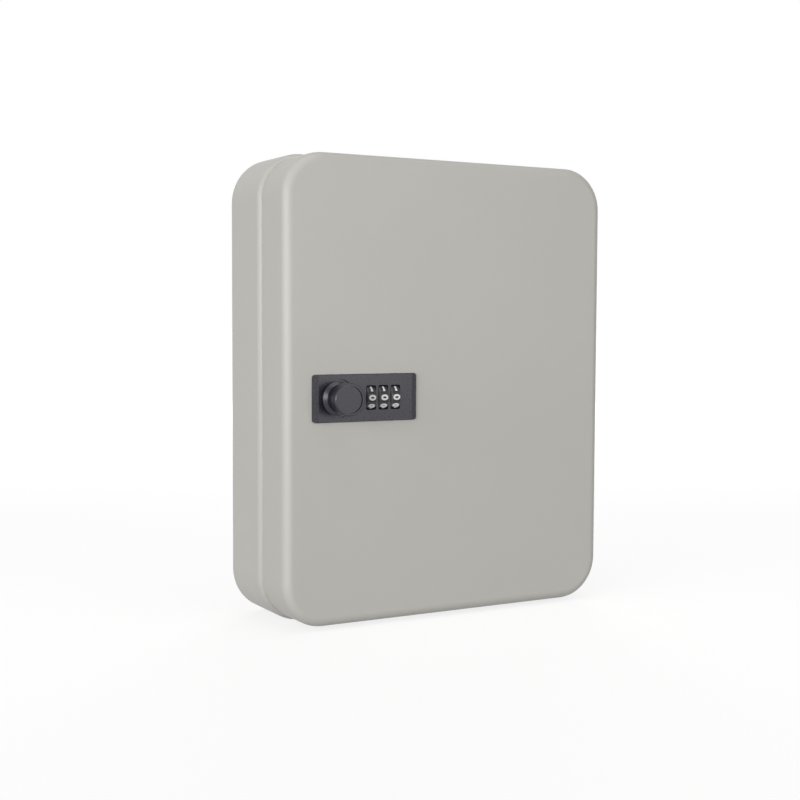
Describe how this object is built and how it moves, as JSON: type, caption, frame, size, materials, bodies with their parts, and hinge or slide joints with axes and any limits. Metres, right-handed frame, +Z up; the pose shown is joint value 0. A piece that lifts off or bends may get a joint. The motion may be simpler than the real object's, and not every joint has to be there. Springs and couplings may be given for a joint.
{
  "type": "key cabinet",
  "caption": "Wall-hung sheet-steel key cabinet with a hinged door, numbered hook rails and a combination cam lock with a turning knob.",
  "frame": {"origin": "middle of the cabinet's flat back face, which is also the middle of its four wall holes", "axes": "+X to the right seen from the front, +Y into the wall, +Z up; the door faces -Y"},
  "size_m": [0.2466, 0.0971, 0.3],
  "materials": {
    "case_paint": "satin powder coat",
    "rail_paint": "satin powder coat",
    "strip_card": "matte",
    "zinc_steel": "zinc plated",
    "lock_black": "satin charcoal enamel",
    "die_cast": "as cast zinc alloy",
    "knob_black": "satin",
    "wheel_black": "satin",
    "brass": "machined",
    "spring_steel": "bright"
  },
  "bodies": {
    "cabinet": {"body_frame": "case_paint", "back_panel": "case_paint", "hook_rail_1": "rail_paint", "hook_rail_2": "rail_paint", "hook_rail_3": "rail_paint", "hook_rail_4": "rail_paint", "hook_rail_5": "rail_paint", "hook_rail_6": "rail_paint", "number_strip_1": "strip_card", "number_strip_2": "strip_card", "number_strip_3": "strip_card", "number_strip_4": "strip_card", "number_strip_5": "strip_card", "number_strip_6": "strip_card", "rail_rivets": "zinc_steel", "case_hinge_leaf_upper": "case_paint", "case_hinge_leaf_lower": "case_paint", "hinge_pin_upper": "zinc_steel", "hinge_pin_lower": "zinc_steel"},
    "door": {"door_shell": "case_paint", "door_hinge_leaf_upper": "case_paint", "door_hinge_leaf_lower": "case_paint", "lock_face": "lock_black", "lock_housing": "die_cast", "lock_screws": "zinc_steel", "wheel_axle": "zinc_steel", "wheel_hub_1": "brass", "wheel_hub_2": "brass", "wheel_hub_3": "brass", "detent_spring": "spring_steel", "fence_spring": "spring_steel"},
    "knob": {"knob": "knob_black", "knob_cap": "knob_black", "spindle": "zinc_steel", "drive_disc": "brass", "cam": "zinc_steel", "cam_washer": "zinc_steel", "cam_nut": "zinc_steel"},
    "number_wheel_1": {"number_wheel_1": "wheel_black"},
    "number_wheel_2": {"number_wheel_2": "wheel_black"},
    "number_wheel_3": {"number_wheel_3": "wheel_black"},
    "fence": {"fence": "zinc_steel"},
    "code_lever": {"code_lever": "zinc_steel"}
  },
  "joints": [
    {"name": "door_hinge", "type": "hinge", "parent": "cabinet", "child": "door", "pos_m": [0.1221, -0.045, 0], "axis": [0, 0, 1], "range_deg": [0, 110]},
    {"name": "knob_turn", "type": "hinge", "parent": "door", "child": "knob", "pos_m": [-0.0842, -0.07, -0.0041], "axis": [0, 1, 0], "range_deg": [0, 90]},
    {"name": "wheel_1_turn", "type": "hinge", "parent": "door", "child": "number_wheel_1", "pos_m": [-0.0612, -0.0732, -0.0041], "axis": [1, 0, 0], "continuous": true},
    {"name": "wheel_2_turn", "type": "hinge", "parent": "door", "child": "number_wheel_2", "pos_m": [-0.0525, -0.0732, -0.0041], "axis": [1, 0, 0], "continuous": true},
    {"name": "wheel_3_turn", "type": "hinge", "parent": "door", "child": "number_wheel_3", "pos_m": [-0.0438, -0.0732, -0.0041], "axis": [1, 0, 0], "continuous": true},
    {"name": "fence_slide", "type": "slide", "parent": "door", "child": "fence", "axis": [0, 0, -1], "range_m": [0, 0.0018], "deforming": ["fence_spring"]},
    {"name": "code_lever_slide", "type": "slide", "parent": "door", "child": "code_lever", "axis": [1, 0, 0], "range_m": [0, 0.004]}
  ],
  "couplings": [
    {"joint": "fence_slide", "follows": "knob_turn", "m_per_rad": 0.0011459}
  ]
}
